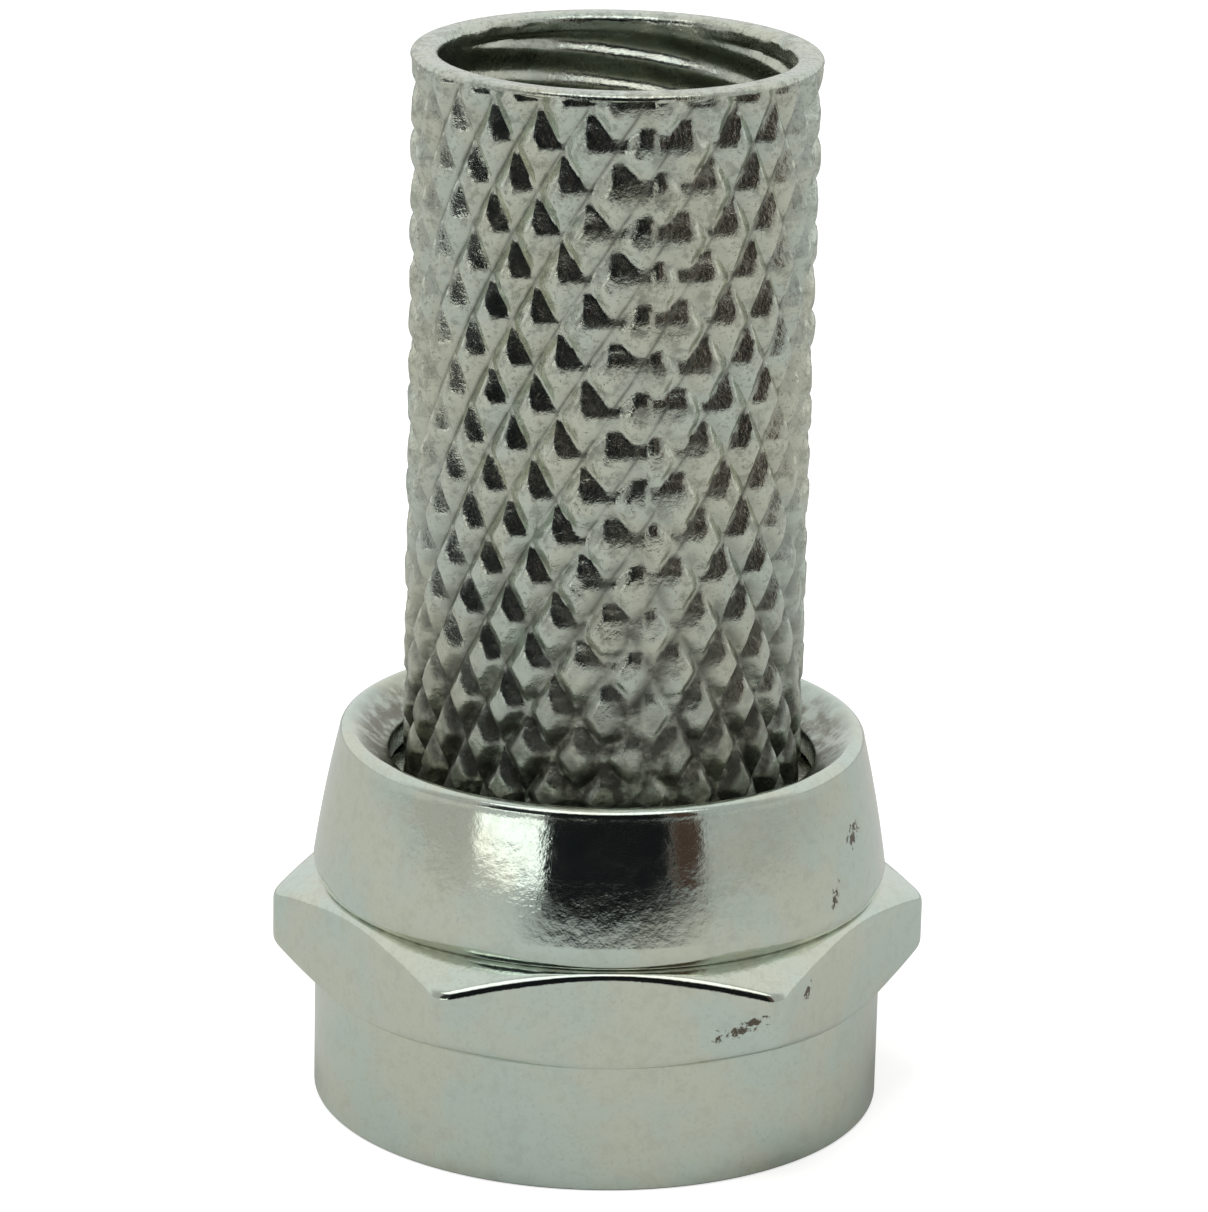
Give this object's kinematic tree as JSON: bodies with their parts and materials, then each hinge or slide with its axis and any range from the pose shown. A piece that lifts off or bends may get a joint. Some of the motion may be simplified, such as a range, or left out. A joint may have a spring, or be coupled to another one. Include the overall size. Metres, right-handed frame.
{
  "type": "coaxial connector",
  "caption": "Twist-on coaxial cable plug: a diamond-knurled sleeve that takes the cable, with a hexagon coupling nut that spins on its flange and screws onto a threaded port.",
  "frame": {"origin": "centre of the coupling nut's front face, on which the plug stands", "axes": "+Z along the connector's axis, from the port end to the cable end; +X through two opposite corners of the hexagon"},
  "size_m": [0.0126, 0.011, 0.0204],
  "materials": {
    "sleeve_nickel": "nickel plate over a knurled casting, satin to bright, slightly yellowish green",
    "nut_nickel": "bright nickel plate over a smooth turned and cast nut, with fine pits and scratches"
  },
  "bodies": {
    "sleeve": {"cable_sleeve": "sleeve_nickel"},
    "nut": {"coupling_nut": "nut_nickel"}
  },
  "joints": [
    {"name": "nut_spin", "type": "hinge", "parent": "sleeve", "child": "nut", "pos_m": [0, 0, 0.0056], "axis": [0, 0, 1], "continuous": true}
  ]
}
